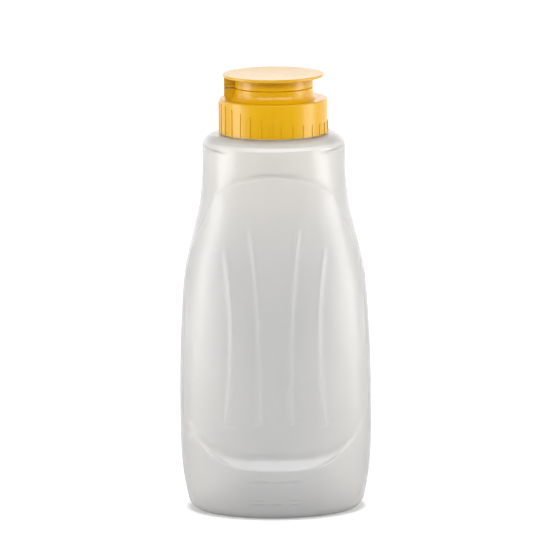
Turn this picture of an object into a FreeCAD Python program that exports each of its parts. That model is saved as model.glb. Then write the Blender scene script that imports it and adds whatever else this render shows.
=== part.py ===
import FreeCAD, Part
import os
import re
from math import atan2, hypot, sqrt

import Sketcher

# Squeeze bottle with a screw-on flip-top closure. Millimetres, +Z up, +X towards the free edge of the
# lid, -Y the front. The origin is the centre of the ring that the bottle stands on.
#
# Pieces: bottle, seal_ring, closure_base, valve_retainer, slit_valve, living_hinge, flip_lid.

doc = FreeCAD.newDocument("squeeze_bottle")
sheet = doc.addObject("Spreadsheet::Sheet", "Dims")

# Ovals of the bottle body: height, half-width along X, half-depth along Y.
BODY_STATIONS = [
    ("foot", 0, 44.6, 33.4),
    ("heel", 14, 47.75, 34.5),
    ("belt", 30, 49.5, 35.0),
    ("low_grip", 47, 49.88, 35.2),
    ("grip", 64, 49.86, 35.2),
    ("hip", 81, 49.55, 35.2),
    ("waist", 98, 48.85, 35.1),
    ("chest", 115, 47.85, 35.0),
    ("upper_chest", 131, 45.85, 34.8),
    ("taper", 146, 42.3, 34.6),
    ("throat", 160, 39.1, 34.3),
    ("column", 173, 37.5, 34.1),
    ("collar", 186, 37.15, 34.0),
    ("shoulder", 198, 37.0, 33.9),
]

# Ovals of the recessed front and back panels. They are wider than the body, so each panel meets the
# body in a crease near its side.
PANEL_STATIONS = [
    ("panel_low", 32.6, 50.3, 31.8),
    ("panel_belt", 50, 50.4, 32.0),
    ("panel_grip", 67, 50.3, 32.0),
    ("panel_hip", 84, 49.95, 32.0),
    ("panel_waist", 101, 49.2, 31.9),
    ("panel_chest", 118, 48.0, 31.8),
    ("panel_taper", 134, 45.6, 31.7),
    ("panel_neck", 149, 42.1, 31.5),
    ("panel_throat", 163, 40.2, 31.4),
    ("panel_arch", 177, 40.8, 31.2),
    ("panel_end", 191, 42.6, 31.2),
]

DIMENSIONS = [
    # bottle body
    ("wall", 1.0),
    ("heel_fillet", 5.2),
    ("shoulder_fillet", 6.4),
    ("ledge_z", 20.0),
    ("ledge_flare", 5.4),
    ("ledge_flat_x", 16.0),
    ("ledge_low_z", 24.9),
    ("ledge_end_x", 49.0),
    ("ledge_end_z", 47.1),
    ("ledge_bend", 35.6),
    ("arch_corner_x", 27.5),
    ("arch_corner_z", 172.5),
    ("arch_apex_z", 180.0),
    ("region_half_width", 60.0),
    ("region_half_depth", 45.0),
    ("pushup_across", 38.0),
    ("pushup_deep", 27.0),
    ("pushup_slant", 5.0),
    ("pushup_rise", 2.5),
    ("base_wall", 1.4),
    # grip ribs: distance from the middle, radius, height of the bend, ends, width and height
    ("outer_rib_x", 22.0),
    ("outer_rib_bend", 289.0),
    ("outer_rib_mid_z", 96.0),
    ("outer_rib_low_z", 49.4),
    ("outer_rib_top_z", 144.0),
    ("inner_rib_x", 7.6),
    ("inner_rib_bend", 581.0),
    ("inner_rib_mid_z", 78.0),
    ("inner_rib_low_z", 51.0),
    ("inner_rib_top_z", 155.0),
    ("rib_width", 1.8),
    ("rib_height", 0.6),
    ("rib_bead_radius", 1.4),
    # neck finish
    ("neck_radius", 25.05),
    ("neck_bore", 23.2),
    ("rim_z", 213.4),
    ("pitch", 4.233),
    ("turns", 1.25),
    ("neck_thread_z", 203.5),
    ("neck_thread_crest", 26.25),
    ("neck_thread_base", 2.0),
    ("neck_thread_tip", 1.0),
    ("cap_thread_crest", 25.35),
    ("cap_thread_base", 1.6),
    ("cap_thread_tip", 0.8),
    ("thread_root", 0.15),
    # seal
    ("seal_thick", 1.0),
    ("seal_inner", 22.4),
    ("seal_outer", 26.2),
    # closure skirt, deck and collar
    ("skirt_radius", 28.1),
    ("skirt_bore", 26.6),
    ("skirt_low_z", 198.6),
    ("deck_z", 216.3),
    ("deck_round", 0.8),
    ("collar_radius", 20.7),
    ("collar_bore", 19.2),
    ("collar_top_z", 222.0),
    ("collar_cove", 5.3),
    ("cove_top_z", 220.5),
    ("cove_foot_radius", 22.77),
    ("edge_break", 0.3),
    ("spout_deck_z", 220.6),
    ("locator_radius", 18.9),
    ("locator_bore", 17.9),
    ("locator_top_z", 223.2),
    ("nozzle_radius", 9.0),
    ("nozzle_bore", 7.6),
    ("nozzle_top_z", 223.4),
    ("socket_radius", 12.6),
    ("socket_bore", 11.4),
    ("socket_low_z", 216.5),
    # grip ribs round the skirt
    ("grip_count", 30),
    ("grip_first_angle", -2.1),
    ("grip_width", 1.0),
    ("grip_height", 0.35),
    ("grip_root", 0.4),
    ("grip_low_rise", 6.0),
    ("grip_arc", 162.0),
    # valve and retainer
    ("flange_radius", 9.6),
    ("flange_low_z", 219.2),
    ("valve_neck", 7.2),
    ("valve_hollow", 6.6),
    ("valve_head", 5.8),
    ("valve_head_z", 221.4),
    ("valve_skin", 0.6),
    ("slit_length", 8.0),
    ("slit_width", 0.2),
    ("retainer_radius", 11.35),
    ("retainer_bore", 8.2),
    ("retainer_low_z", 217.2),
    # lid
    ("disc_radius", 26.3),
    ("disc_top_z", 229.0),
    ("disc_low_z", 227.6),
    ("disc_round", 0.45),
    ("rim_flat_radius", 23.5),
    ("dish_depth", 0.4),
    ("lid_low_z", 222.2),
    ("lid_roof_z", 227.2),
    ("lid_cove", 1.3),
    ("plug_radius", 7.3),
    ("plug_bore", 6.6),
    ("plug_low_z", 222.6),
    # hinge
    ("block_x", 25.4),
    ("block_root_x", 19.9),
    ("block_half_width", 6.2),
    ("block_corner", 2.3),
    ("lower_block_z", 222.2),
    ("upper_block_z", 222.7),
    ("groove_z", 224.0),
    ("groove_width", 0.3),
    ("groove_depth", 0.4),
    ("film_thick", 0.4),
    ("film_waist", 0.2),
    ("film_half_width", 5.6),
    ("film_low_z", 221.6),
    ("film_top_z", 223.3),
]

for station, height, across, deep in BODY_STATIONS + PANEL_STATIONS:
    DIMENSIONS.append((station + "_z", height))
    DIMENSIONS.append((station + "_across", across))
    DIMENSIONS.append((station + "_deep", deep))

for row, (alias, number) in enumerate(DIMENSIONS, start=1):
    sheet.set(f"A{row}", alias)
    sheet.set(f"B{row}", str(number))
    sheet.setAlias(f"B{row}", alias)
doc.recompute()


# ---------------------------------------------------------------- helpers

def formula(text):
    """Turns a formula of plain dimension words into one that reads the sheet."""
    return re.sub(r"[a-z]\w*", lambda word: "Dims." + word.group(0), str(text))


def value(text):
    """The number that a formula of dimension words gives."""
    return float(sheet.evalExpression(formula(text)))


def bind(target, **formulas):
    """Binds properties to the sheet; Base_x, Base_y and Base_z bind the place."""
    for name, text in formulas.items():
        target.setExpression(name.replace("Base_", "Placement.Base."), formula(text))
    return target


def add(kind, name, **formulas):
    return bind(doc.addObject(kind, name), **formulas)


def box(name, low, size):
    """A box from formulas of its lowest corner and its three sizes."""
    return add("Part::Box", name, Length=size[0], Width=size[1], Height=size[2],
               Base_x=low[0], Base_y=low[1], Base_z=low[2])


def cut(name, base, tool):
    result = doc.addObject("Part::Cut", name)
    result.Base = base
    result.Tool = tool
    return result


def common(name, base, tool):
    result = doc.addObject("Part::Common", name)
    result.Base = base
    result.Tool = tool
    return result


def join(name, base, tool):
    result = doc.addObject("Part::Fuse", name)
    result.Base = base
    result.Tool = tool
    return result


def fuse(name, shapes):
    result = doc.addObject("Part::MultiFuse", name)
    result.Shapes = shapes
    return result


def edges_where(feature, wanted):
    """Numbers of the feature's edges that pass the test, counted from 1."""
    doc.recompute()
    return [number for number, edge in enumerate(feature.Shape.Edges, start=1) if wanted(edge)]


def rounded(name, base, wanted, radius):
    """A fillet of the base's edges that pass the test."""
    result = doc.addObject("Part::Fillet", name)
    numbers = edges_where(base, wanted)
    result.Base = base
    result.Edges = [(number, value(radius), value(radius)) for number in numbers]
    return result


def flat_at(height):
    """Test for an edge that lies wholly at one height."""
    level = value(height)

    def wanted(edge):
        bounds = edge.BoundBox
        return abs(bounds.ZMin - level) < 0.01 and abs(bounds.ZMax - level) < 0.01
    return wanted


def new_sketch(body, name, plane_role):
    plane = [item for item in body.Origin.OriginFeatures if item.Role == plane_role][0]
    sketch = body.newObject("Sketcher::SketchObject", name)
    sketch.AttachmentSupport = [(plane, "")]
    sketch.MapMode = "FlatFace"
    return sketch


def arc_between(start, end, radius):
    """The short arc from start to end; a positive radius turns left, a negative one right."""
    chord = hypot(end[0] - start[0], end[1] - start[1])
    rise = sqrt(radius * radius - chord * chord / 4)
    side = 1 if radius > 0 else -1
    centre_x = (start[0] + end[0]) / 2 - side * rise * (end[1] - start[1]) / chord
    centre_y = (start[1] + end[1]) / 2 + side * rise * (end[0] - start[0]) / chord
    first, last = (start, end) if radius > 0 else (end, start)
    circle = Part.Circle(FreeCAD.Vector(centre_x, centre_y, 0), FreeCAD.Vector(0, 0, 1), abs(radius))
    angles = [atan2(point[1] - centre_y, point[0] - centre_x) for point in (first, last)]
    return Part.ArcOfCircle(circle, angles[0], angles[1])


def pin_to_sheet(sketch, geometry, point, corner):
    """Binds both coordinates of a sketch point to their formulas."""
    for kind, axis, text in (("DistanceX", -2, corner[0]), ("DistanceY", -1, corner[1])):
        if str(text) == "0":
            sketch.addConstraint(Sketcher.Constraint("PointOnObject", geometry, point, axis))
            continue
        place = Sketcher.Constraint(kind, -1, 1, geometry, point, value(text))
        number = sketch.addConstraint(place)
        sketch.setExpression(f"Constraints[{number}]", formula(text))


def draw_outline(sketch, corners):
    """A closed outline. Each corner is (across, up), or (across, up, radius) where an arc leads on."""
    count = len(corners)
    places = [(value(corner[0]), value(corner[1])) for corner in corners]
    ends = []
    for number, corner in enumerate(corners):
        start = places[number]
        end = places[(number + 1) % count]
        if len(corner) == 2:
            line = Part.LineSegment(FreeCAD.Vector(*start, 0), FreeCAD.Vector(*end, 0))
            geometry = sketch.addGeometry(line, False)
            ends.append((geometry, 1, 2))
            continue
        radius = value(corner[2])
        geometry = sketch.addGeometry(arc_between(start, end, radius), False)
        ends.append((geometry, 1, 2) if radius > 0 else (geometry, 2, 1))
        number_of_radius = sketch.addConstraint(Sketcher.Constraint("Radius", geometry, abs(radius)))
        sketch.setExpression(f"Constraints[{number_of_radius}]", f"abs({formula(corner[2])})")
    for number, corner in enumerate(corners):
        geometry, first, last = ends[number]
        following = ends[(number + 1) % count]
        join = Sketcher.Constraint("Coincident", geometry, last, following[0], following[1])
        sketch.addConstraint(join)
        pin_to_sheet(sketch, geometry, first, corner)


def new_body(name):
    return doc.addObject("PartDesign::Body", name)


def turned(name, corners):
    """A body made by turning an outline of (radius, height) corners about Z."""
    body = new_body(name)
    sketch = new_sketch(body, name + "_outline", "XZ_Plane")
    draw_outline(sketch, corners)
    revolution = body.newObject("PartDesign::Revolution", name + "_turn")
    revolution.Profile = sketch
    revolution.ReferenceAxis = (sketch, ["V_Axis"])
    revolution.Angle = 360
    return body


def extruded(name, plane_role, corners, length, midplane=False):
    """A body made by padding an outline on one of its own planes."""
    body = new_body(name)
    sketch = new_sketch(body, name + "_outline", plane_role)
    draw_outline(sketch, corners)
    pad = body.newObject("PartDesign::Pad", name + "_pad")
    pad.Profile = sketch
    pad.Midplane = midplane
    bind(pad, Length=length)
    return body


def thread(name, root, crest, base, tip, start_z):
    """A single-start right-hand ridge of trapezoid section; root and crest are its radii."""
    body = new_body(name)
    sketch = new_sketch(body, name + "_outline", "XZ_Plane")
    corners = [
        (root, f"{start_z} - {base} / 2"),
        (crest, f"{start_z} - {tip} / 2"),
        (crest, f"{start_z} + {tip} / 2"),
        (root, f"{start_z} + {base} / 2"),
    ]
    draw_outline(sketch, corners)
    helix = body.newObject("PartDesign::AdditiveHelix", name + "_ridge")
    helix.Profile = sketch
    helix.ReferenceAxis = (sketch, ["V_Axis"])
    helix.Mode = "pitch-turns-angle"
    helix.LeftHanded = False
    bind(helix, Pitch="pitch", Turns="turns")
    return body


# ---------------------------------------------------------------- bottle

def oval(name, height, across, deep):
    return add("Part::Ellipse", name, MajorRadius=across, MinorRadius=deep, Base_z=height)


def oval_loft(name, stations, grow="0", ruled=False):
    """A solid through ovals; grow is added to each half-width and half-depth."""
    sections = []
    for station in stations:
        sections.append(oval(f"{name}_{station}", station + "_z",
                             f"{station}_across + {grow}", f"{station}_deep + {grow}"))
    loft = doc.addObject("Part::Loft", name)
    loft.Sections = sections
    loft.Solid = True
    loft.Ruled = ruled
    return loft


def panel_core(name, grow):
    """What a panel leaves standing: the panel's ovals above the cone of its lower ledge."""
    face = oval_loft(name + "_face", [station[0] for station in PANEL_STATIONS], grow)
    flare = f"{grow} + ledge_flare"
    wide = oval(name + "_ledge_low", "ledge_z", f"panel_low_across + {flare}", f"panel_low_deep + {flare}")
    narrow = oval(name + "_ledge_top", "panel_low_z", f"panel_low_across + {grow}",
                  f"panel_low_deep + {grow}")
    ledge = doc.addObject("Part::Loft", name + "_ledge")
    ledge.Sections = [wide, narrow]
    ledge.Solid = True
    ledge.Ruled = True
    return fuse(name, [face, ledge])


def panel_region(name, spread):
    """The stretch of the body that both panels take up, between the ledge and the arch.

    The ledge is flat in the middle and sweeps up at both sides. The spread moves both of them
    outwards, so that the wall keeps its thickness where it steps in to a panel."""
    flat_z = f"ledge_low_z - {spread}"
    end_x = f"ledge_end_x + 0.93 * {spread}"
    end_z = f"ledge_end_z - 0.37 * {spread}"
    sweep = f"ledge_bend + {spread}"
    corner_x = f"arch_corner_x + 0.51 * {spread}"
    corner_z = f"arch_corner_z + 0.86 * {spread}"
    corners = [
        ("0 - ledge_flat_x", flat_z),
        ("ledge_flat_x", flat_z, sweep),
        (end_x, end_z),
        ("region_half_width", end_z),
        ("region_half_width", corner_z),
        (corner_x, corner_z, f"{arch_radius()} + {spread}"),
        (f"0 - ({corner_x})", corner_z),
        ("0 - region_half_width", corner_z),
        ("0 - region_half_width", end_z),
        (f"0 - ({end_x})", end_z, sweep),
    ]
    return extruded(name, "XZ_Plane", corners, "2 * region_half_depth", midplane=True)


def arch_radius():
    """Formula of the arch's radius, from its half-span and rise."""
    rise = "(arch_apex_z - arch_corner_z)"
    return f"(arch_corner_x * arch_corner_x + {rise} * {rise}) / (2 * {rise})"


def body_form(name, inset, low, top, heel_radius, shoulder_radius):
    """The body between two heights, inset by a wall, with rounded ends and both panels cut."""
    grow = f"(0 - {inset})"
    loft = oval_loft(name + "_loft", [station[0] for station in BODY_STATIONS], grow)
    reach = "region_half_width"
    slab = box(name + "_slab", (f"0 - {reach}", f"0 - {reach}", low),
               (f"2 * {reach}", f"2 * {reach}", f"{top} - ({low})"))
    trimmed = common(name + "_trimmed", loft, slab)
    heel = rounded(name + "_heel", trimmed, flat_at(low), heel_radius)
    whole = rounded(name + "_whole", heel, flat_at(top), shoulder_radius)
    cutter = cut(name + "_cutter", panel_region(name + "_region", inset), panel_core(name + "_core", grow))
    return cut(name, whole, cutter)


def pushup(name, spread, low, rise):
    """The hollow in the base, as a tapered oval block; spread widens it."""
    wide = oval(name + "_low", low, f"pushup_across + {spread}", f"pushup_deep + {spread}")
    narrow = oval(name + "_top", f"{low} + {rise}", f"pushup_across + {spread} - pushup_slant",
                  f"pushup_deep + {spread} - pushup_slant")
    block = doc.addObject("Part::Loft", name)
    block.Sections = [wide, narrow]
    block.Solid = True
    block.Ruled = True
    return block


def along_y(name, across, height, radius):
    """A cylinder along Y, right through the body, at (across, height)."""
    rod = add("Part::Cylinder", name, Radius=radius, Height="2 * region_half_depth")
    rod.Placement = FreeCAD.Placement(FreeCAD.Vector(), FreeCAD.Rotation(FreeCAD.Vector(1, 0, 0), -90))
    return bind(rod, Base_x=across, Base_y="0 - region_half_depth", Base_z=height)


def rib_slab(rib, side):
    """One curved rib right through the body; side is -1 or 1, and the bend is hollow to that side."""
    name = f"{rib}_rib_{'left' if side < 0 else 'right'}"
    centre_x = f"{side} * ({rib}_rib_x + {rib}_rib_bend)"
    middle_z = f"{rib}_rib_mid_z"
    outside = along_y(name + "_outside", centre_x, middle_z, f"{rib}_rib_bend + rib_width / 2")
    inside = along_y(name + "_inside", centre_x, middle_z, f"{rib}_rib_bend - rib_width / 2")
    ring = cut(name + "_ring", outside, inside)
    reach = "region_half_depth"
    low_x = "0" if side > 0 else f"0 - {reach}"
    window = box(name + "_window", (low_x, f"0 - {reach}", f"{rib}_rib_low_z"),
                 (reach, f"2 * {reach}", f"{rib}_rib_top_z - {rib}_rib_low_z"))
    strip = common(name, ring, window)
    drop = f"({middle_z} - {rib}_rib_low_z)"
    end_x = f"{side} * ({rib}_rib_x + {drop} * {drop} / (2 * {rib}_rib_bend))"
    bead = along_y(name + "_bead", end_x, f"{rib}_rib_low_z", "rib_bead_radius")
    return [strip, bead]


def make_bottle():
    outer = body_form("outer", "0", "foot_z", "shoulder_z", "heel_fillet", "shoulder_fillet")
    inner = body_form("inner", "wall", "base_wall", "shoulder_z - wall", "heel_fillet - wall",
                      "shoulder_fillet - wall")
    slabs = []
    for rib in ("outer", "inner"):
        for side in (-1, 1):
            slabs += rib_slab(rib, side)
    ribs = common("ribs", fuse("rib_slabs", slabs),
                  oval_loft("rib_core", [station[0] for station in PANEL_STATIONS], "rib_height"))
    neck = add("Part::Cylinder", "neck", Radius="neck_radius", Height="rim_z - shoulder_z + wall",
               Base_z="shoulder_z - wall")
    ridge = thread("neck_thread", "neck_radius - thread_root", "neck_thread_crest",
                   "neck_thread_base", "neck_thread_tip", "neck_thread_z")
    solid = fuse("bottle_solid", [outer, ribs, neck, ridge])
    bore = add("Part::Cylinder", "bore", Radius="neck_bore", Height="rim_z - shoulder_z + 4 * wall",
               Base_z="shoulder_z - 3 * wall")
    plateau = pushup("plateau", "base_wall", "0 - base_wall", "2 * base_wall + pushup_rise")
    hollow = fuse("hollow", [cut("cavity", inner, plateau), bore, pushup("pushup", "0", "foot_z", "pushup_rise")])
    return cut("bottle", solid, hollow)


# ---------------------------------------------------------------- closure

def hinge_block(name, low_z, high_z):
    """A hinge block between two heights, with a rebate for its half of the film."""
    block = box(name + "_block", ("0 - block_x", "0 - block_half_width", low_z),
                ("block_x - block_root_x", "2 * block_half_width", f"{high_z} - {low_z}"))
    rebate = box(name + "_rebate", ("0 - block_x", "0 - block_half_width", "film_low_z"),
                 ("film_thick", "2 * block_half_width", "film_top_z - film_low_z"))
    return cut(name, block, rebate)


def grip_ribs():
    """The ribs round the skirt; their tops follow one arc that rises towards the hinge."""
    body = new_body("grip_ring")
    body.AllowCompound = True
    sketch = new_sketch(body, "grip_outline", "XY_Plane")
    draw_outline(sketch, [
        ("skirt_radius - grip_root", "0 - grip_width / 2"),
        ("skirt_radius + grip_height", "0 - grip_width / 2"),
        ("skirt_radius + grip_height", "grip_width / 2"),
        ("skirt_radius - grip_root", "grip_width / 2"),
    ])
    pad = body.newObject("PartDesign::Pad", "grip_pad")
    pad.Profile = sketch
    bind(pad, Length="deck_z - skirt_low_z")
    doc.recompute()
    pattern = body.newObject("PartDesign::PolarPattern", "grip_pattern")
    pattern.Originals = [pad]
    pattern.Axis = (sketch, ["N_Axis"])
    pattern.Angle = 360
    bind(pattern, Occurrences="grip_count")
    body.Tip = pattern
    front = FreeCAD.Rotation(FreeCAD.Vector(0, 0, 1), value("grip_first_angle") - 90)
    body.Placement = FreeCAD.Placement(FreeCAD.Vector(), front)
    bind(body, Base_z="skirt_low_z")
    above = along_y("grip_arc_rod", "skirt_radius", "skirt_low_z + grip_low_rise + grip_arc", "grip_arc")
    return cut("grip_ribs", body, above)


def make_closure_base():
    shell = turned("closure_shell", [
        ("skirt_bore", "skirt_low_z"),
        ("skirt_radius", "skirt_low_z"),
        ("skirt_radius", "deck_z - deck_round", "deck_round"),
        ("skirt_radius - deck_round", "deck_z"),
        ("cove_foot_radius", "deck_z", "0 - collar_cove"),
        ("collar_radius", "cove_top_z"),
        ("collar_radius", "collar_top_z - edge_break"),
        ("collar_radius - edge_break", "collar_top_z"),
        ("locator_radius", "collar_top_z"),
        ("locator_radius", "locator_top_z"),
        ("locator_bore", "locator_top_z"),
        ("locator_bore", "collar_top_z"),
        ("nozzle_radius", "collar_top_z"),
        ("nozzle_radius", "nozzle_top_z"),
        ("nozzle_bore", "nozzle_top_z"),
        ("nozzle_bore", "spout_deck_z"),
        ("socket_bore", "spout_deck_z"),
        ("socket_bore", "socket_low_z"),
        ("socket_radius", "socket_low_z"),
        ("socket_radius", "spout_deck_z"),
        ("collar_bore", "spout_deck_z"),
        ("collar_bore", "rim_z + seal_thick"),
        ("skirt_bore", "rim_z + seal_thick"),
    ])
    ridge = thread("cap_thread", "skirt_bore + thread_root", "cap_thread_crest",
                   "cap_thread_base", "cap_thread_tip", "(neck_thread_z - pitch / 2)")
    block = hinge_block("lower_hinge", "deck_z", "lower_block_z")
    outer_foot = value("0 - block_x")
    foot_z = value("deck_z")

    def foot_edge(edge):
        bounds = edge.BoundBox
        return abs(bounds.XMax - outer_foot) < 0.01 and abs(bounds.ZMax - foot_z) < 0.01
    block = rounded("lower_hinge_round", block, foot_edge, "block_corner")
    threaded = join("closure_threaded", shell, ridge)
    hinged = join("closure_hinged", threaded, block)
    return join("closure_base", hinged, grip_ribs())


def make_seal_ring():
    return turned("seal_ring", [
        ("seal_inner", "rim_z"),
        ("seal_outer", "rim_z"),
        ("seal_outer", "rim_z + seal_thick"),
        ("seal_inner", "rim_z + seal_thick"),
    ])


def make_valve_retainer():
    return turned("valve_retainer", [
        ("retainer_bore + edge_break", "retainer_low_z"),
        ("retainer_radius - edge_break", "retainer_low_z"),
        ("retainer_radius", "retainer_low_z + edge_break"),
        ("retainer_radius", "flange_low_z"),
        ("retainer_bore", "flange_low_z"),
        ("retainer_bore", "retainer_low_z + edge_break"),
    ])


def make_slit_valve():
    """A soft disc with a clamped flange; two crossed slits open when the bottle is squeezed."""
    valve = turned("slit_valve", [
        ("0", "valve_head_z - valve_skin"),
        ("valve_head - valve_skin", "valve_head_z - valve_skin"),
        ("valve_hollow", "flange_low_z"),
        ("flange_radius", "flange_low_z"),
        ("flange_radius", "spout_deck_z"),
        ("valve_neck", "spout_deck_z"),
        ("valve_head", "valve_head_z"),
        ("0", "valve_head_z"),
    ])
    doc.recompute()
    whole = valve.Shape.Volume
    half_long = "slit_length / 2"
    half_thin = "slit_width / 2"
    for name, half_x, half_y in (("slit_x", half_long, half_thin), ("slit_y", half_thin, half_long)):
        sketch = new_sketch(valve, name, "XY_Plane")
        draw_outline(sketch, [(f"0 - {half_x}", f"0 - {half_y}"), (half_x, f"0 - {half_y}"),
                              (half_x, half_y), (f"0 - {half_x}", half_y)])
        pocket = valve.newObject("PartDesign::Pocket", name + "_cut")
        pocket.Profile = sketch
        pocket.Type = "ThroughAll"
        pocket.Midplane = True
        doc.recompute()
        if valve.Shape.Volume >= whole:
            raise RuntimeError(name + " cut nothing")
        whole = valve.Shape.Volume
    return valve


def make_living_hinge():
    """The film that joins the two hinge blocks, waisted on the hinge line."""
    return extruded("living_hinge", "XZ_Plane", [
        ("0 - block_x", "film_low_z"),
        ("film_thick - block_x", "film_low_z"),
        ("film_thick - block_x", "lower_block_z"),
        ("film_waist - block_x", "(lower_block_z + upper_block_z) / 2"),
        ("film_thick - block_x", "upper_block_z"),
        ("film_thick - block_x", "film_top_z"),
        ("0 - block_x", "film_top_z"),
    ], "2 * film_half_width", midplane=True)


def make_flip_lid():
    lid = turned("lid_shell", [
        ("0", "lid_roof_z"),
        ("plug_bore", "lid_roof_z"),
        ("plug_bore", "plug_low_z"),
        ("plug_radius", "plug_low_z"),
        ("plug_radius", "lid_roof_z"),
        ("collar_bore", "lid_roof_z"),
        ("collar_bore", "lid_low_z"),
        ("collar_radius - edge_break", "lid_low_z"),
        ("collar_radius", "lid_low_z + edge_break"),
        ("collar_radius", "disc_low_z - lid_cove", "0 - lid_cove"),
        ("collar_radius + lid_cove", "disc_low_z"),
        ("disc_radius - disc_round", "disc_low_z", "disc_round"),
        ("disc_radius", "disc_low_z + disc_round"),
        ("disc_radius", "disc_top_z - disc_round", "disc_round"),
        ("disc_radius - disc_round", "disc_top_z"),
        ("rim_flat_radius", "disc_top_z", dish_radius()),
        ("0", "disc_top_z - dish_depth"),
    ])
    block = hinge_block("upper_hinge", "upper_block_z", "(disc_low_z + disc_top_z) / 2")
    for side, edge in (("front", "0 - block_half_width"), ("back", "block_half_width - groove_depth")):
        groove = box(f"{side}_groove", ("0 - block_x", edge, "groove_z"),
                     ("block_x - block_root_x", "groove_depth", "groove_width"))
        block = cut(f"upper_hinge_{side}", block, groove)
    return join("flip_lid", lid, block)


def dish_radius():
    """Formula of the radius of the dished top, which turns right as it runs in to the middle."""
    return "0 - (rim_flat_radius * rim_flat_radius + dish_depth * dish_depth) / (2 * dish_depth)"


# ---------------------------------------------------------------- check and write

PIECES = {
    "bottle": make_bottle,
    "seal_ring": make_seal_ring,
    "closure_base": make_closure_base,
    "valve_retainer": make_valve_retainer,
    "slit_valve": make_slit_valve,
    "living_hinge": make_living_hinge,
    "flip_lid": make_flip_lid,
}

pieces = {}
for label, make in PIECES.items():
    piece = make()
    piece.Label = label
    pieces[label] = piece
doc.recompute()

for item in doc.Objects:
    if "Invalid" in item.State or "Error" in item.State:
        raise RuntimeError(f"{item.Name} failed: {item.State}")

os.makedirs("parts", exist_ok=True)
for label, piece in pieces.items():
    shape = piece.Shape
    if shape.isNull() or not shape.isValid() or len(shape.Solids) != 1:
        raise RuntimeError(f"{label} is not one valid solid")
    shape.exportStep(f"parts/{label}.step")
    bounds = shape.optimalBoundingBox(False, False)
    print(f"{label}: {shape.Volume:.1f} mm3, x {bounds.XMin:.2f} to {bounds.XMax:.2f}, "
          f"y {bounds.YMin:.2f} to {bounds.YMax:.2f}, z {bounds.ZMin:.2f} to {bounds.ZMax:.2f}")
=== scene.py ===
import math

import bmesh
import bpy
import numpy as np
from mathutils import Matrix, Vector


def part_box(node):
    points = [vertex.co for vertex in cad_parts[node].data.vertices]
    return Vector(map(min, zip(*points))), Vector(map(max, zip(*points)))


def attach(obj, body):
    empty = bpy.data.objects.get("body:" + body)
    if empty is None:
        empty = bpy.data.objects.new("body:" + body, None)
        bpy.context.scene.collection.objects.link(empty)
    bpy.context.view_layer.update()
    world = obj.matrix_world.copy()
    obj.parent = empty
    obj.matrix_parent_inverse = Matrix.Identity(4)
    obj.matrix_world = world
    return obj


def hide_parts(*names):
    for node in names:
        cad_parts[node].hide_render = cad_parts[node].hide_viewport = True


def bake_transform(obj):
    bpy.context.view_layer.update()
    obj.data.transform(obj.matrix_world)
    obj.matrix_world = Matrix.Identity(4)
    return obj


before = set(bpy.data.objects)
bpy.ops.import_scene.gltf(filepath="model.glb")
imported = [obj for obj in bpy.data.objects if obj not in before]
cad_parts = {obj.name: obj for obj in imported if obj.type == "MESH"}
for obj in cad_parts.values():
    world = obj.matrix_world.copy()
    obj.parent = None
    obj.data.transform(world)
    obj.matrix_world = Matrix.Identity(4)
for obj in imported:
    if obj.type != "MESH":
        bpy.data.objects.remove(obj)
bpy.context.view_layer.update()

MM = 0.001

# ---------------------------------------------------------------- sizes, in millimetres

# Ovals of the bottle body: height, half-width along X, half-depth along Y.
BODY = [
    (0, 44.6, 33.4),
    (14, 47.75, 34.5),
    (30, 49.5, 35.0),
    (47, 49.88, 35.2),
    (64, 49.86, 35.2),
    (81, 49.55, 35.2),
    (98, 48.85, 35.1),
    (115, 47.85, 35.0),
    (131, 45.85, 34.8),
    (146, 42.3, 34.6),
    (160, 39.1, 34.3),
    (173, 37.5, 34.1),
    (186, 37.15, 34.0),
    (198, 37.0, 33.9),
]

# Ovals of the recessed front and back panels.
PANEL = [
    (32.6, 50.3, 31.8),
    (50, 50.4, 32.0),
    (67, 50.3, 32.0),
    (84, 49.95, 32.0),
    (101, 49.2, 31.9),
    (118, 48.0, 31.8),
    (134, 45.6, 31.7),
    (149, 42.1, 31.5),
    (163, 40.2, 31.4),
    (177, 40.8, 31.2),
    (191, 42.6, 31.2),
]

WALL = 1.0
SKIN = 0.1            # the body's surface lies this far inside the CAD one, which leaves room for the relief
HEEL_FILLET = 5.2
SHOULDER_Z = 198.0
SHOULDER_FILLET = 6.4
LEDGE_RISE = 8.3      # how far up the panel the ledge starts above its lower edge
LEDGE_SLOPE = 0.43    # outward run for each unit of fall
LEDGE_HOLLOW = 2.8    # softness of the hollow above the ledge
LEDGE_LOW_Z = 24.9    # lower edge of the ledge, which sweeps up at both sides
LEDGE_FLAT_X = 16.0
LEDGE_END_X = 49.0
LEDGE_BEND = 35.6
ARCH_CORNER_X = 27.5
ARCH_CORNER_Z = 172.5
ARCH_APEX_Z = 180.0
ARCH_STEP = 3.0       # height over which the step at the arch fades
LEDGE_STEP = 2.0      # the same at the lower edge
CREASE = 0.1          # softness of the panel's creases
PUSHUP = (38.0, 27.0)     # foot of the raised centre of the base: half-width, half-depth
PUSHUP_SLANT = 5.0
PUSHUP_RISE = 2.5
PUSHUP_DOME = 0.5
PUSHUP_TOP = (PUSHUP[0] - PUSHUP_SLANT, PUSHUP[1] - PUSHUP_SLANT)
BASE_WALL = 1.4
NECK_RADIUS = 25.05
NECK_FOOT = 0.6           # size of the fillet where the neck meets the shoulder
LIP_ROUND = 0.3
NECK_BORE = 23.2
RIM_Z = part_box("bottle")[1][2] / MM
PITCH = 4.233
THREAD_TURNS = 1.25
THREAD_Z = 203.5
THREAD_CREST = 26.25
THREAD_BASE = 2.0
THREAD_TIP = 1.0
THREAD_RUN_OUT = 0.25     # angle over which each end of the thread fades, in radians

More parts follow.
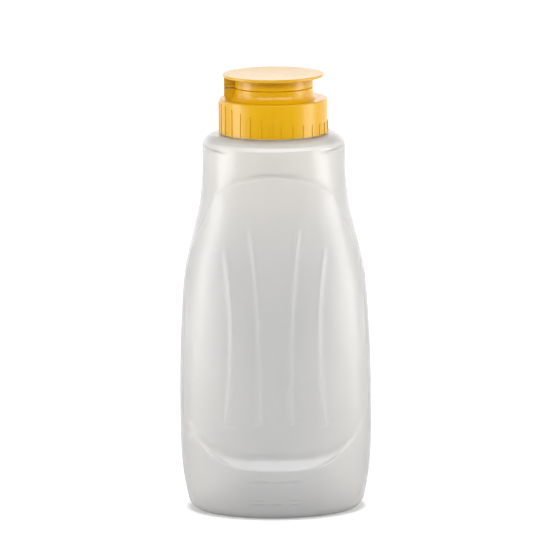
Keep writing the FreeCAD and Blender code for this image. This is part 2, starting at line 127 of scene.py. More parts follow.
# Grip ribs: distance from the middle, bend radius, height of the bend, lower end, upper end.
RIBS = {
    "inner": (7.6, 581.0, 78.0, 51.0, 155.0),
    "outer": (22.0, 289.0, 96.0, 49.4, 144.0),
}
RIB_HALF_WIDTH = 1.0
RIB_HEIGHT = 0.48
RIB_FULLNESS = 0.8    # below 1 the section of a rib is fuller than a parabola
RIB_START = 1.0       # height over which it comes up at its lower end
RIB_FADE = 9.0        # height over which it runs out at its upper end
BEAD_RADIUS = 1.5
BEAD_HEIGHT = 0.75

# Sunk bars low on the front: middle x, middle z, half-width, half-height.
MARKS = [
    (-7.5, 20.6, 3.6, 0.55),
    (1.0, 20.6, 2.6, 0.55),
    (9.5, 20.6, 3.8, 0.55),
    (-9.0, 8.6, 2.2, 0.55),
    (0.5, 8.6, 3.0, 0.55),
    (10.0, 8.6, 2.2, 0.55),
    (-9.0, 10.6, 2.2, 0.4),
    (10.0, 10.6, 2.2, 0.4),
]
MARK_DEPTH = 0.5
EDGE_LINE = 0.45      # height of the fine raised line along the panel's edge
EDGE_LINE_HALF = 0.75
EDGE_LINE_SPREAD = 1.4    # how many times as wide it is along the ledge
EDGE_LINE_START_Z = (38, 56)    # heights over which it comes up along the crease
EDGE_LINE_END_Z = (ARCH_CORNER_Z - 3, ARCH_CORNER_Z + 1)
LEDGE_LINE_START_X = (16, 30)    # distances from the middle over which it comes up along the ledge
LEDGE_LINE_END_X = (38, 45)
LEDGE_LINE_END_Z = (39, 45)
SHOULDER_RINGS = (194.7, 193.0)    # heights of two faint raised rings
SHOULDER_RING = 0.14
SHOULDER_RING_HALF = 0.3

# Lower end, upper end, lower fillet and upper fillet of the outer and the inner skin.
OUTSIDE = (0.0, SHOULDER_Z, HEEL_FILLET, SHOULDER_FILLET)
INSIDE = (BASE_WALL, SHOULDER_Z - WALL, HEEL_FILLET - WALL, SHOULDER_FILLET - WALL)

# Columns of the mesh: their distances from a crease and from a rib's middle line, where they follow
# each of them, and the height whose columns are used where there is no panel.
CREASE_COLUMNS = (-0.9, -0.35, 0, 0.35, 0.9)
CREASE_COLUMNS_Z = (41.5, ARCH_CORNER_Z)
CREASE_RADIUS = 40    # about how far the crease is from the axis
RIB_COLUMNS = (1.15, 0.8, 0.4, 0, -0.4, -0.8, -1.15)    # in half-widths of a rib
RIB_COLUMNS_Z = (36, 190)
RIB_COLUMNS_PAST = (4, 2)    # how far past a rib's lower and upper end they follow its bend
RIB_COLUMNS_LEAN = 0.2       # how fast they lean in above its end, over RIB_COLUMNS_RISE
RIB_COLUMNS_RISE = 30
PLAIN_COLUMNS_Z = 60.0

# Rows of the mesh, as stretches of (from, to, step), and the heights over which rows bend to follow
# the arch and the ledge.
OUTER_ROWS = [
    (6.2, 12.2, 0.3),
    (12.2, 19, 1.2),
    (19, 22.2, 0.3),
    (22.2, 23.8, 0.6),
    (23.8, 26.4, 0.18),
    (26.4, 36, 0.5),
    (36, 47.5, 1.0),
    (47.5, 53.5, 0.5),
    (53.5, 150, 1.7),
    (150, 176, 1.1),
    (176, 178.8, 0.7),
    (178.8, 181.2, 0.18),
    (181.2, 191.4, 1.0),
]
NECK_ROWS = [
    (SHOULDER_Z + NECK_FOOT, 202, 0.6),
    (202, 211, 0.22),
    (211, RIM_Z - LIP_ROUND, 0.5),
]
BORE_ROWS = [
    (RIM_Z - 2, SHOULDER_Z, 3),
]
INNER_ROWS = [
    (191, 182.4, 1.5),
    (182.4, 179.4, 0.5),
    (179.4, 40, 3.6),
    (40, 25.4, 1.2),
    (25.4, 22.4, 0.5),
    (22.4, 6.4, 2.4),
]
ARCH_ROWS_Z = (150, 191)
LEDGE_ROWS_Z = (7, 64)

# Film of the hinge, a little inside its CAD solid: outer face, thickness in the blocks and at the
# waist, half-width, heights, and the gap between the blocks.
FILM_LOW, FILM_HIGH = np.array(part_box("living_hinge")) / MM
FILM_INSET = 0.02
FILM_X = FILM_LOW[0] + FILM_INSET
FILM_THICK = FILM_HIGH[0] - FILM_LOW[0] - 2 * FILM_INSET
FILM_WAIST = 0.16
FILM_HALF_Y = FILM_HIGH[1]
FILM_LOW_Z = FILM_LOW[2] + FILM_INSET
FILM_TOP_Z = FILM_HIGH[2] - FILM_INSET
FILM_WAIST_Z = (FILM_LOW_Z + FILM_TOP_Z) / 2
FILM_GAP = 0.5
FILM_ROWS = 35

# Camera and floor, in metres.
CAMERA_PLACE = (0.00016, -2.5, 0.59)
CAMERA_AIM = (0.00016, 0, 0.123)
CAMERA_LENS = 320
CAMERA_LEAN = -0.45            # degrees about the line of sight
FLOOR_REACH = 6.0
FLOOR_FRONT = -0.5
# Painted shadow: the floor's glow drops inside this oval round the base.
PAINTED_SHADOW_OVAL = (0.0455, 0.0335)   # half-widths of the oval that the base shades on the floor

# Soft boxes, in metres: place, what it faces, width and height, watts.
SOFT_BOXES = {
    "left_softbox": ((-1.18, -0.2, 0.5), (0, 0, 0.2), (0.6, 1.0), 5),
    "right_softbox": ((1.18, -0.2, 0.5), (0, 0, 0.2), (0.6, 1.0), 5),
    "front_left_softbox": ((-0.52, -1.1, 0.92), (0, 0, 0.1), (1.2, 0.42), 9),
    "front_right_softbox": ((0.62, -1.06, 0.92), (0, 0, 0.1), (1.2, 0.42), 9.5),
}


# ---------------------------------------------------------------- curves

def smooth_curve(knots, column):
    """A natural cubic through the knots, as a function of height."""
    x = np.array([knot[0] for knot in knots], float)
    y = np.array([knot[column] for knot in knots], float)
    count = len(x)
    gap = np.diff(x)
    matrix = np.eye(count)
    right = np.zeros(count)
    for i in range(1, count - 1):
        matrix[i, i - 1:i + 2] = gap[i - 1], 2 * (gap[i - 1] + gap[i]), gap[i]
        right[i] = 6 * ((y[i + 1] - y[i]) / gap[i] - (y[i] - y[i - 1]) / gap[i - 1])
    bend = np.linalg.solve(matrix, right)

    def curve(height):
        height = np.clip(height, x[0], x[-1])
        i = np.clip(np.searchsorted(x, height) - 1, 0, count - 2)
        below = height - x[i]
        above = x[i + 1] - height
        cubic = (bend[i] * above ** 3 + bend[i + 1] * below ** 3) / (6 * gap[i])
        return (cubic + (y[i] / gap[i] - bend[i] * gap[i] / 6) * above
                + (y[i + 1] / gap[i] - bend[i + 1] * gap[i] / 6) * below)
    return curve


body_across = smooth_curve(BODY, 1)
body_deep = smooth_curve(BODY, 2)
panel_across = smooth_curve(PANEL, 1)
panel_deep = smooth_curve(PANEL, 2)


def fade(value, low, high):
    """0 below low, 1 above high, smooth between."""
    share = np.clip((value - low) / (high - low), 0, 1)
    return share * share * (3 - 2 * share)


def soft_min(a, b, softness):
    """The smaller of two lengths, with the corner between them rounded."""
    share = np.clip(0.5 + 0.5 * (b - a) / softness, 0, 1)
    return b + (a - b) * share - softness * share * (1 - share)


def oval_radius(angle, across, deep):
    return across * deep / np.hypot(deep * np.cos(angle), across * np.sin(angle))


def soft_ramp(value, softness):
    """Zero for a negative value and the value itself for a positive one, with the corner rounded."""
    corner = (value + softness) ** 2 / (4 * softness)
    return np.where(value > softness, value, np.where(value > -softness, corner, 0))


def arch_height(x, spread=0.0):
    """Height of the panel's upper edge at a distance from the middle."""
    rise = ARCH_APEX_Z - ARCH_CORNER_Z
    radius = (ARCH_CORNER_X ** 2 + rise ** 2) / (2 * rise)
    inside = np.minimum(np.abs(x), ARCH_CORNER_X)
    return ARCH_APEX_Z - radius + np.sqrt((radius + spread) ** 2 - inside ** 2)


def ledge_height(x, spread=0.0):
    """Height of the panel's lower edge at a distance from the middle."""
    past = np.clip(np.abs(x), LEDGE_FLAT_X, LEDGE_END_X) - LEDGE_FLAT_X
    return LEDGE_LOW_Z + LEDGE_BEND - np.sqrt((LEDGE_BEND + spread) ** 2 - past ** 2)


# ---------------------------------------------------------------- bottle surface

def rib_relief(x, z):
    """How far the grip ribs stand off the panel at (x, z)."""
    relief = np.zeros_like(x)
    for middle_x, bend, bend_z, low_z, top_z in RIBS.values():
        line_x = middle_x + (z - bend_z) ** 2 / (2 * bend)
        across = np.clip(1 - ((np.abs(x) - line_x) / RIB_HALF_WIDTH) ** 2, 0, 1)
        along = fade(z, low_z - RIB_START, low_z) * (1 - fade(z, top_z - RIB_FADE, top_z))
        end_x = middle_x + (low_z - bend_z) ** 2 / (2 * bend)
        from_end = np.hypot(np.abs(x) - end_x, z - low_z) / BEAD_RADIUS
        bead = BEAD_HEIGHT * np.clip(1 - from_end ** 2, 0, 1)
        relief = np.maximum(relief, np.maximum(RIB_HEIGHT * across ** RIB_FULLNESS * along, bead))
    return relief


def crease_angle(z):
    """Angle from +X at which the body and the panel meet."""
    body_x = 1 / body_across(z) ** 2 - 1 / panel_across(z) ** 2
    body_y = 1 / panel_deep(z) ** 2 - 1 / body_deep(z) ** 2
    return np.arctan(np.sqrt(body_x / body_y))


def edge_line(angle, z, body, panel):
    """How far the fine line along the crease, and where the ledge meets the body, stands off."""
    x = np.abs(body * np.cos(angle))
    quarter = np.arccos(np.abs(np.cos(angle)))
    crease = crease_angle(np.clip(z, EDGE_LINE_START_Z[0], ARCH_CORNER_Z))
    off_crease = (quarter - crease) * body / EDGE_LINE_HALF
    tall = fade(z, *EDGE_LINE_START_Z) * (1 - fade(z, *EDGE_LINE_END_Z))
    along_crease = np.clip(1 - off_crease ** 2, 0, 1) * tall
    off_ledge = (panel - body) / (EDGE_LINE_SPREAD * EDGE_LINE_HALF * LEDGE_SLOPE)
    wide = fade(x, *LEDGE_LINE_START_X) * (1 - fade(x, *LEDGE_LINE_END_X)) * (1 - fade(z, *LEDGE_LINE_END_Z))
    along_ledge = np.clip(1 - off_ledge ** 2, 0, 1) * wide
    return EDGE_LINE * np.maximum(along_crease, along_ledge)


def belt_marks(x, z, front):
    """Depth of the short sunk bars low on the front, in place of moulded lettering."""
    relief = np.zeros_like(x)
    for middle_x, middle_z, half_width, half_height in MARKS:
        across = np.clip(1 - ((x - middle_x) / half_width) ** 4, 0, 1)
        along = np.clip(1 - ((z - middle_z) / half_height) ** 2, 0, 1)
        relief = np.maximum(relief, across * along)
    return MARK_DEPTH * relief * front


def end_inset(z, low, top, low_fillet, top_fillet):
    """How far the rounded ends pull the wall in at a height."""
    from_low = np.clip(low_fillet - (z - low), 0, low_fillet)
    from_top = np.clip(top_fillet - (top - z), 0, top_fillet)
    return (low_fillet - np.sqrt(low_fillet ** 2 - from_low ** 2)
            + top_fillet - np.sqrt(top_fillet ** 2 - from_top ** 2))


def body_radius(angle, z, inset, ends, relief):
    """Distance of the body's wall from the axis at an angle and height."""
    pulled = inset + end_inset(z, *ends)
    body = oval_radius(angle, body_across(z) - pulled, body_deep(z) - pulled)
    x = body * np.cos(angle)
    spread = inset - SKIN
    ledge = LEDGE_SLOPE * soft_ramp(ledge_height(x, spread) + LEDGE_RISE - z, LEDGE_HOLLOW)
    panel = oval_radius(angle, panel_across(z) - inset + ledge, panel_deep(z) - inset + ledge)
    if relief:
        panel = panel + rib_relief(panel * np.cos(angle), z)
    recessed = soft_min(body, panel, CREASE)
    above_arch = fade(z - arch_height(x, spread), -ARCH_STEP / 2, ARCH_STEP / 2)
    above_ledge = fade(z - ledge_height(x, spread), -LEDGE_STEP / 2, LEDGE_STEP / 2)
    wall = body + (recessed - body) * above_ledge * (1 - above_arch)
    if relief:
        wall = wall + edge_line(angle, z, body, panel) - belt_marks(x, z, np.sin(angle) < 0)
    return wall


def thread_relief(angle, z):
    """How far the single-start thread stands off the neck."""
    relief = np.zeros_like(z)
    for turn in range(math.ceil(THREAD_TURNS)):
        travel = angle + 2 * math.pi * turn
        centre = THREAD_Z + PITCH * travel / (2 * math.pi)
        flank = (THREAD_BASE / 2 - np.abs(z - centre)) / ((THREAD_BASE - THREAD_TIP) / 2)
        end = 2 * math.pi * THREAD_TURNS
        run = fade(travel, 0, THREAD_RUN_OUT) * (1 - fade(travel, end - THREAD_RUN_OUT, end))
        relief = np.maximum(relief, np.clip(flank, 0, 1) * run)
    return relief * (THREAD_CREST - NECK_RADIUS)


def panel_angle(x, z):
    """Angle from +X of a point of the panel at a distance from the middle."""
    across = panel_across(z)
    return np.arctan2(panel_deep(z) * np.sqrt(1 - (x / across) ** 2), x)


def rib_line(rib, z):
    """Distance of a rib's columns from the middle: its own line, leaning in again above its end."""
    middle_x, bend, bend_z, low_z, top_z = RIBS[rib]
    inside = min(max(z, low_z - RIB_COLUMNS_PAST[0]), top_z + RIB_COLUMNS_PAST[1])
    lean = RIB_COLUMNS_LEAN * min(max(z - top_z, 0), RIB_COLUMNS_RISE)
    return middle_x + (inside - bend_z) ** 2 / (2 * bend) - lean


def quarter_angles(z):
    """Angles of the mesh's columns from the side (0) to the middle of the front.

    Columns follow the crease and both grip ribs, and lie close together on them."""
    crease_z = min(max(z, CREASE_COLUMNS_Z[0]), CREASE_COLUMNS_Z[1])
    crease = float(crease_angle(crease_z)) + np.array(CREASE_COLUMNS) / CREASE_RADIUS
    on_rib = np.array(RIB_COLUMNS) * RIB_HALF_WIDTH
    outer = rib_line("outer", z) + on_rib
    inner = rib_line("inner", z) + on_rib
    outer_angles = panel_angle(outer, z)
    return np.concatenate([
        np.linspace(0, crease[0], 13)[:-1],
        crease,
        np.linspace(crease[-1], outer_angles[0], 11)[1:-1],
        outer_angles,
        panel_angle(np.linspace(outer[-1], inner[0], 7)[1:-1], z),
        panel_angle(inner, z),
        panel_angle(np.linspace(inner[-1], 0, 5)[1:], z),
    ])


def ring_angles(z):
    """Angles of all columns at a height, anticlockwise from +X."""
    quarter = quarter_angles(min(max(z, RIB_COLUMNS_Z[0]), RIB_COLUMNS_Z[1]))
    back = quarter[::-1][1:]
    return np.concatenate([
        quarter,
        math.pi - back[:-1],
        math.pi + quarter,
        2 * math.pi - back[:-1],
    ])


def spaced(stretches):
    """Heights over several (from, to, step) stretches, without repeats."""
    heights = []
    for low, high, step in stretches:
        count = max(1, round(abs(high - low) / step))
        heights += list(np.linspace(low, high, count, endpoint=False))
    heights.append(stretches[-1][1])
    return heights


def warped_rows(z, x):
    """Moves rows near the arch and the ledge, so that one row follows each of them."""
    by_arch = fade(z, ARCH_ROWS_Z[0], ARCH_APEX_Z) * (1 - fade(z, ARCH_APEX_Z, ARCH_ROWS_Z[1]))
    by_ledge = fade(z, LEDGE_ROWS_Z[0], LEDGE_LOW_Z) * (1 - fade(z, LEDGE_LOW_Z, LEDGE_ROWS_Z[1]))
    return z + (arch_height(x) - ARCH_APEX_Z) * by_arch + (ledge_height(x) - LEDGE_LOW_Z) * by_ledge


def ring(z, radius_of, angles=None):
    """A ring of points; radius_of gives the distance from the axis at given angles and heights."""
    angles = ring_angles(PLAIN_COLUMNS_Z) if angles is None else angles
    heights = np.full_like(angles, z) if np.isscalar(z) else z
    radius = radius_of(angles, heights)
    return np.stack([radius * np.cos(angles), radius * np.sin(angles), heights], axis=1)


def oval_ring(z, across, deep):
    return ring(z, lambda angle, height: oval_radius(angle, across, deep))


def wall_ring(z, inset, ends, bulge=0.0):
    return ring(z, lambda angle, height: body_radius(angle, height, inset, ends, False) + bulge)


def warped_ring(row, inset, ends, relief):
    """A ring of the wall whose points move up and down to follow the arch and the ledge."""
    angles = ring_angles(row)
    x = body_across(row) * np.cos(angles)
    z = warped_rows(np.full_like(angles, row), x)
    return ring(z, lambda angle, height: body_radius(angle, height, inset, ends, relief), angles)


def pushup_dome(lift, share):
    """A ring of the raised centre of the base, at a share of its size."""
    z = lift + PUSHUP_RISE - PUSHUP_DOME * share ** 4
    return oval_ring(z, PUSHUP_TOP[0] * share, PUSHUP_TOP[1] * share)


def pushup_slant(lift, share):
    """A ring of the slanting side of the raised centre, from its top (0) to its foot (1)."""
    z = lift + (PUSHUP_RISE - PUSHUP_DOME) * (1 - fade(share, 0, 1))
    across = PUSHUP_TOP[0] + lift + PUSHUP_SLANT * share
    deep = PUSHUP_TOP[1] + lift + PUSHUP_SLANT * share
    return oval_ring(z, across, deep)


def base_outside():
    """From the middle of the base outwards and round the heel."""
    rings = [pushup_dome(0, share) for share in (0.02, 0.2, 0.4, 0.6, 0.75, 0.88, 0.96)]
    rings += [pushup_slant(0, share) for share in np.linspace(0, 1, 7)]
    for turn in np.linspace(0.03, 1, 12):
        z = HEEL_FILLET * (1 - math.cos(turn * math.pi / 2))
        rings.append(wall_ring(z, SKIN, OUTSIDE))
    return rings


def wall_outside():
    """Up the wall and over the shoulder; rows lie close together at the marks, the ledge and the arch."""
    rings = [warped_ring(row, SKIN, OUTSIDE, True) for row in spaced(OUTER_ROWS)]
    for turn in np.linspace(0.05, 0.97, 24):
        z = SHOULDER_Z - SHOULDER_FILLET * (1 - math.sin(turn * math.pi / 2))
        nearness = [math.exp(-((z - line) / SHOULDER_RING_HALF) ** 2) for line in SHOULDER_RINGS]
        rings.append(wall_ring(z, SKIN, OUTSIDE, SHOULDER_RING * sum(nearness)))
    return rings


def neck():
    """In over the shoulder, up the thread, over the rim and down the bore."""
    rings = []
    across = body_across(SHOULDER_Z) - SHOULDER_FILLET
    deep = body_deep(SHOULDER_Z) - SHOULDER_FILLET
    foot = NECK_RADIUS + NECK_FOOT
    for share in (0.2, 0.5, 0.8, 0.95):
        rings.append(oval_ring(SHOULDER_Z, across + (foot - across) * share, deep + (foot - deep) * share))
    foot_side = NECK_RADIUS + NECK_FOOT / 3
    rings.append(oval_ring(SHOULDER_Z + NECK_FOOT / 3, foot_side, foot_side))
    for z in spaced(NECK_ROWS):
        rings.append(ring(z, lambda angle, height: NECK_RADIUS + thread_relief(angle, height)))
    rings.append(oval_ring(RIM_Z, NECK_RADIUS - LIP_ROUND, NECK_RADIUS - LIP_ROUND))
    rings.append(oval_ring(RIM_Z, NECK_BORE + LIP_ROUND, NECK_BORE + LIP_ROUND))
    rings.append(oval_ring(RIM_Z - LIP_ROUND, NECK_BORE, NECK_BORE))
    rings += [oval_ring(z, NECK_BORE, NECK_BORE) for z in spaced(BORE_ROWS)]
    return rings


def wall_inside():
    """Under the shoulder and down the inner skin."""
    rings = []
    for turn in np.linspace(0.98, 0.05, 10):
        z = SHOULDER_Z - WALL - (SHOULDER_FILLET - WALL) * (1 - math.sin(turn * math.pi / 2))
        rings.append(wall_ring(z, WALL, INSIDE))
    rings += [warped_ring(row, WALL, INSIDE, False) for row in spaced(INNER_ROWS)]
    return rings


def base_inside():
    """Round the heel and in to the middle of the base."""
    rings = []
    for turn in np.linspace(0.9, 0.05, 7):
        z = BASE_WALL + (HEEL_FILLET - WALL) * (1 - math.cos(turn * math.pi / 2))
        rings.append(wall_ring(z, WALL, INSIDE))
    rings += [pushup_slant(BASE_WALL, share) for share in np.linspace(1, 0, 6)]
    rings += [pushup_dome(BASE_WALL, share) for share in (0.75, 0.4, 0.02)]
    return rings


def make_rings():
    """The bottle's wall as rings of points, from the middle of the base out, up, over the rim and in."""
    return base_outside() + wall_outside() + neck() + wall_inside() + base_inside()


def mesh_object(name, points, faces):
    """An object of a mesh whose faces all look outwards."""
    mesh = bpy.data.meshes.new(name)
    mesh.from_pydata(points, [], faces)
    whole = bmesh.new()
    whole.from_mesh(mesh)
    bmesh.ops.recalc_face_normals(whole, faces=whole.faces)
    whole.to_mesh(mesh)
    whole.free()
    obj = bpy.data.objects.new(name, mesh)
    bpy.context.scene.collection.objects.link(obj)
    return obj


def rings_to_object(name, rings):
    """A closed skin over rings of equal point counts, with a cap at each end."""
    count = len(rings[0])
    points = np.concatenate(rings) * MM
    faces = []
    for row in range(len(rings) - 1):
        for column in range(count):
            following = (column + 1) % count
            base = row * count
            faces.append((base + column, base + following, base + count + following, base + count + column))
    faces.append(tuple(range(count))[::-1])
    last = (len(rings) - 1) * count
    faces.append(tuple(range(last, last + count)))
    obj = mesh_object(name, [tuple(point) for point in points], faces)
    obj.data.shade_smooth()
    return obj


# ---------------------------------------------------------------- materials

def new_material(name):
    material = bpy.data.materials.new(name)
    material.use_nodes = True
    nodes = material.node_tree.nodes
    shader = nodes["Principled BSDF"]
    return material, nodes, material.node_tree.links, shader


def noise(nodes, links, scale, detail=2.0, stretch=(1, 1, 1)):
    """A noise over the object's own coordinates; scale is in features to a metre."""
    place = nodes.new("ShaderNodeTexCoord")
    spread = nodes.new("ShaderNodeMapping")
    spread.inputs["Scale"].default_value = stretch
    texture = nodes.new("ShaderNodeTexNoise")
    texture.inputs["Scale"].default_value = scale
    texture.inputs["Detail"].default_value = detail
    links.new(place.outputs["Object"], spread.inputs["Vector"])
    links.new(spread.outputs["Vector"], texture.inputs["Vector"])
    return texture.outputs["Fac"]


def ranged(nodes, links, value, low, high):
    span = nodes.new("ShaderNodeMapRange")
    span.inputs["From Min"].default_value = 0.3
    span.inputs["From Max"].default_value = 0.7
    span.inputs["To Min"].default_value = low
    span.inputs["To Max"].default_value = high
    links.new(value, span.inputs["Value"])
    return span.outputs["Result"]


def mixed(nodes, links, share, low, high):
    """From low to high with the share; each is a colour or the output of another node."""
    mix = nodes.new("ShaderNodeMix")
    mix.data_type = "RGBA"
    links.new(share, mix.inputs["Factor"])
    for name, colour in (("A", low), ("B", high)):
        if isinstance(colour, tuple):
            mix.inputs[name].default_value = (*colour, 1)
        else:
            links.new(colour, mix.inputs[name])
    return mix.outputs["Result"]


def bumped(nodes, links, height, distance, strength, below=None):
    bump = nodes.new("ShaderNodeBump")
    bump.inputs["Distance"].default_value = distance
    bump.inputs["Strength"].default_value = strength
    links.new(height, bump.inputs["Height"])
    if below is not None:
        links.new(below, bump.inputs["Normal"])
    return bump.outputs["Normal"]


def smooth_span(nodes, links, value, span_from, span_to=(0, 1)):
    """Goes from span_to's first value to its second as the input goes over span_from, smoothly."""
    span = nodes.new("ShaderNodeMapRange")
    span.interpolation_type = "SMOOTHSTEP"
    span.inputs["From Min"].default_value, span.inputs["From Max"].default_value = span_from
    span.inputs["To Min"].default_value, span.inputs["To Max"].default_value = span_to
    links.new(value, span.inputs["Value"])
    return span.outputs["Result"]


def calculated(nodes, links, operation, first, second=None):
    step = nodes.new("ShaderNodeMath")
    step.operation = operation
    links.new(first, step.inputs[0])
    if second is not None:
        links.new(second, step.inputs[1])
    return step.outputs["Value"]


def darker_at_edges(nodes, links, colour, edge):
    """Darkens a colour where the wall is seen edge-on, through more of its thickness."""
    layer = nodes.new("ShaderNodeLayerWeight")
    layer.inputs["Blend"].default_value = 0.5
    share = smooth_span(nodes, links, layer.outputs["Facing"], (0.45, 0.95))
    return mixed(nodes, links, share, colour, edge)


def coordinates(nodes, links, kind="Object"):
    """The X, Y and Z outputs of a texture coordinate, by name."""
    place = nodes.new("ShaderNodeTexCoord")
    split = nodes.new("ShaderNodeSeparateXYZ")
    links.new(place.outputs[kind], split.inputs["Vector"])
    return split.outputs


def oval_distance(nodes, links, across, deep):
    """Distance from the Z axis, as 1 on an oval of these half-widths."""
    place = nodes.new("ShaderNodeTexCoord")
    shrunk = nodes.new("ShaderNodeMapping")
    shrunk.inputs["Scale"].default_value = (1 / across, 1 / deep, 0)
    length = nodes.new("ShaderNodeVectorMath")
    length.operation = "LENGTH"
    links.new(place.outputs["Object"], shrunk.inputs["Vector"])
    links.new(shrunk.outputs["Vector"], length.inputs[0])
    return length.outputs["Value"]


def natural_polyethylene():
    """Milky and translucent; painted shade makes it greyer low down and in the middle, and painted light,
    with the cap's yellow bounce, makes it lighter and warmer high up and at the sides.
    """
    material, nodes, links, shader = new_material("natural_polyethylene")
    cloud = noise(nodes, links, 22, 3, (1, 1, 0.35))
    # Painted light and shade: the grey tone next is painted shade for low down and the middle, the warm
    # white after it painted light and bounce for high up and at the sides.
    thick = mixed(nodes, links, cloud, (0.76, 0.76, 0.76), (0.79, 0.788, 0.785))
    painted_light_tone = mixed(nodes, links, cloud, (0.965, 0.94, 0.895), (0.985, 0.96, 0.915))
    place = coordinates(nodes, links)
    # Masks of the painted light: higher up, and away from the middle at both sides.
    high = smooth_span(nodes, links, place["Z"], (0.09, 0.22))
    painted_light_aside = smooth_span(nodes, links, calculated(nodes, links, "ABSOLUTE", place["X"]),
                        (0.008, 0.045), (0, 0.6))
    body = mixed(nodes, links, calculated(nodes, links, "MAXIMUM", high, painted_light_aside), thick, painted_light_tone)
    links.new(darker_at_edges(nodes, links, body, (0.75, 0.75, 0.745)), shader.inputs["Base Color"])
    links.new(ranged(nodes, links, noise(nodes, links, 160, 3), 0.30, 0.38), shader.inputs["Roughness"])
    waves = bumped(nodes, links, noise(nodes, links, 60, 2, (1, 1, 0.4)), 0.001, 0.10)
    peel = bumped(nodes, links, noise(nodes, links, 1400, 2), 0.0002, 0.12, waves)
    links.new(peel, shader.inputs["Normal"])
    shader.inputs["Subsurface Weight"].default_value = 0.5
    shader.inputs["Subsurface Scale"].default_value = 0.02
    shader.inputs["Subsurface Radius"].default_value = (1.0, 0.95, 0.85)
    shader.inputs["Transmission Weight"].default_value = 0.75
    shader.inputs["IOR"].default_value = 1.5
    shader.inputs["Coat Weight"].default_value = 0.55
    shader.inputs["Coat Roughness"].default_value = 0.24
    return material


def coloured_plastic(name, dark, light, rough_low, rough_high, scatter):
    """Moulded plastic: slightly cloudy colour and gloss over a faint grain."""
    material, nodes, links, shader = new_material(name)
    cloud = noise(nodes, links, 90, 2)
    links.new(mixed(nodes, links, cloud, dark, light), shader.inputs["Base Color"])
    links.new(ranged(nodes, links, noise(nodes, links, 150, 2), rough_low, rough_high),
              shader.inputs["Roughness"])
    grain = bumped(nodes, links, noise(nodes, links, 500, 1), 0.0001, 0.02)
    links.new(grain, shader.inputs["Normal"])
    shader.inputs["Subsurface Weight"].default_value = scatter
    shader.inputs["Subsurface Scale"].default_value = 0.004
    shader.inputs["Subsurface Radius"].default_value = (1.0, 0.6, 0.2)
    shader.inputs["IOR"].default_value = 1.49
    return material


polyethylene = natural_polyethylene()
yellow = coloured_plastic("yellow_polypropylene", (0.61, 0.33, 0.0), (0.64, 0.345, 0.001), 0.22, 0.26, 0.1)
white = coloured_plastic("white_polypropylene", (0.78, 0.78, 0.75), (0.84, 0.84, 0.81), 0.35, 0.45, 0.1)
silicone = coloured_plastic("silicone", (0.72, 0.72, 0.69), (0.78, 0.78, 0.75), 0.45, 0.55, 0.3)
liner = coloured_plastic("foam_liner", (0.80, 0.80, 0.77), (0.86, 0.86, 0.83), 0.7, 0.85, 0.1)


def make_hinge_film():
    """The slender web between the two hinge blocks, waisted in the middle, where a living hinge bends."""
    rows = []
    for z in np.linspace(FILM_LOW_Z, FILM_TOP_Z, FILM_ROWS):
        from_waist = min(1.0, abs(z - FILM_WAIST_Z) / (FILM_GAP / 2))
        rows.append((FILM_WAIST + (FILM_THICK - FILM_WAIST) * from_waist ** 2, z))
    outline = [(FILM_X, z) for thick, z in rows] + [(FILM_X + thick, z) for thick, z in reversed(rows)]
    count = len(outline)
    points = [(x * MM, y * MM, z * MM) for y in (-FILM_HALF_Y, FILM_HALF_Y) for x, z in outline]
    faces = [(i, (i + 1) % count, count + (i + 1) % count, count + i) for i in range(count)]
    last = len(rows) - 1
    for row in range(last):
        mirror = count - 1 - row
        faces.append((row, row + 1, mirror - 1, mirror))
        faces.append((count + mirror, count + mirror - 1, count + row + 1, count + row))
    film = mesh_object("hinge_film", points, faces)
    film.data.materials.append(yellow)
    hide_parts("living_hinge")
    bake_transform(film)


def make_bottle():
    bottle = rings_to_object("bottle_wall", make_rings())
    bottle.data.materials.append(polyethylene)
    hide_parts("bottle")
    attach(bottle, "container")


def dress(node, material):
    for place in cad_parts[node].material_slots:
        place.material = material


dress("seal_ring", liner)
dress("closure_base", yellow)
dress("valve_retainer", white)
dress("slit_valve", silicone)
dress("flip_lid", yellow)

make_hinge_film()
make_bottle()


# ---------------------------------------------------------------- stage, lights and camera

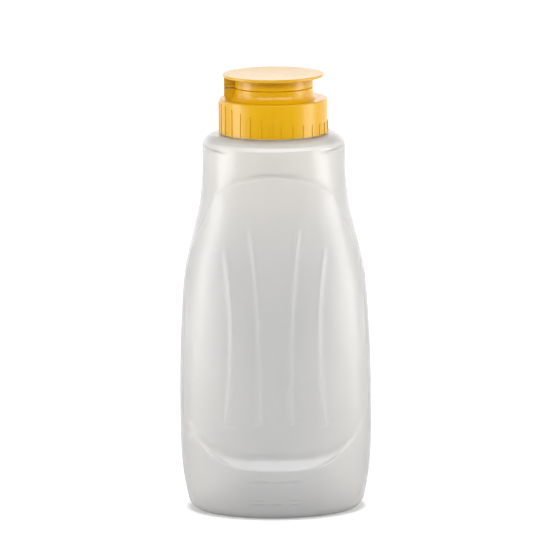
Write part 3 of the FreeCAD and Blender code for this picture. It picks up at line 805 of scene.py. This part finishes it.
def make_floor():
    """Pale and glowing, bright behind, with painted light glowing at both sides and a painted shadow close
    round the base.
    """
    mesh = bpy.data.meshes.new("floor")
    near_left, near_right = (-FLOOR_REACH, FLOOR_FRONT, 0), (FLOOR_REACH, FLOOR_FRONT, 0)
    far_left, far_right = (-FLOOR_REACH, FLOOR_REACH, 0), (FLOOR_REACH, FLOOR_REACH, 0)
    mesh.from_pydata([near_left, near_right, far_right, far_left], [], [(0, 1, 2, 3)])
    floor = bpy.data.objects.new("floor", mesh)
    bpy.context.scene.collection.objects.link(floor)
    material, nodes, links, shader = new_material("pale_floor")
    shader.inputs["Base Color"].default_value = (0.6, 0.6, 0.6, 1)
    shader.inputs["Roughness"].default_value = 0.6
    shader.inputs["Emission Color"].default_value = (1, 1, 1, 1)
    place = coordinates(nodes, links)
    behind = smooth_span(nodes, links, place["Y"], (0.3, 1.3), (0.5, 0.95))
    # Painted light: the floor glows brighter at both sides, near the front, to light the bottle's sides.
    painted_light_aside = smooth_span(nodes, links, calculated(nodes, links, "ABSOLUTE", place["X"]), (0.3, 0.7), (0, 1.5))
    near = smooth_span(nodes, links, place["Y"], (-0.1, 0.35), (1.6, 0))
    open_floor = calculated(nodes, links, "ADD", behind, calculated(nodes, links, "MULTIPLY", painted_light_aside, near))
    from_base = oval_distance(nodes, links, *PAINTED_SHADOW_OVAL)
    # Painted shadow: the glow drops in an oval close round the base.
    painted_shadow_round_base = smooth_span(nodes, links, from_base, (0.98, 1.07), (0.3, 1))
    glow = calculated(nodes, links, "MULTIPLY", open_floor, painted_shadow_round_base)
    links.new(glow, shader.inputs["Emission Strength"])
    material.cycles.emission_sampling = "NONE"
    mesh.materials.append(material)


def soft_box(name, place, aim, size, watts):
    light = bpy.data.lights.new(name, "AREA")
    light.shape = "RECTANGLE"
    light.size, light.size_y = size
    light.energy = watts
    lamp = bpy.data.objects.new(name, light)
    lamp.location = place
    lamp.rotation_euler = (Vector(aim) - Vector(place)).to_track_quat("-Z", "Y").to_euler()
    bpy.context.scene.collection.objects.link(lamp)


def make_world():
    """White to the camera; to everything else dark in front and above, and brightest low at the back."""
    world = bpy.data.worlds.new("studio")
    bpy.context.scene.world = world
    world.use_nodes = True
    nodes = world.node_tree.nodes
    links = world.node_tree.links
    background = nodes["Background"]
    place = coordinates(nodes, links, "Generated")
    behind = smooth_span(nodes, links, place["Y"], (-0.8, 0.9), (0.22, 1.75))
    low = smooth_span(nodes, links, place["Z"], (0.15, 0.55), (1.0, 0.35))
    around = calculated(nodes, links, "MULTIPLY", behind, low)
    path = nodes.new("ShaderNodeLightPath")
    level = nodes.new("ShaderNodeMix")
    level.data_type = "FLOAT"
    level.inputs["B"].default_value = 1.05
    links.new(path.outputs["Is Camera Ray"], level.inputs["Factor"])
    links.new(around, level.inputs["A"])
    links.new(level.outputs["Result"], background.inputs["Strength"])
    background.inputs["Color"].default_value = (1, 1, 1, 1)


def make_camera():
    camera = bpy.data.objects.new("camera", bpy.data.cameras.new("camera"))
    camera.data.sensor_width = 36
    camera.data.lens = CAMERA_LENS
    camera.data.clip_end = 50
    camera.location = CAMERA_PLACE
    turn = (Vector(CAMERA_AIM) - camera.location).to_track_quat("-Z", "Y").to_matrix().to_4x4()
    lean = math.radians(CAMERA_LEAN)
    camera.matrix_world = Matrix.Translation(camera.location) @ turn @ Matrix.Rotation(lean, 4, "Z")
    bpy.context.scene.collection.objects.link(camera)
    bpy.context.scene.camera = camera


make_floor()
for name, box in SOFT_BOXES.items():
    soft_box(name, *box)
make_world()
make_camera()
bpy.context.scene.view_settings.view_transform = "Standard"
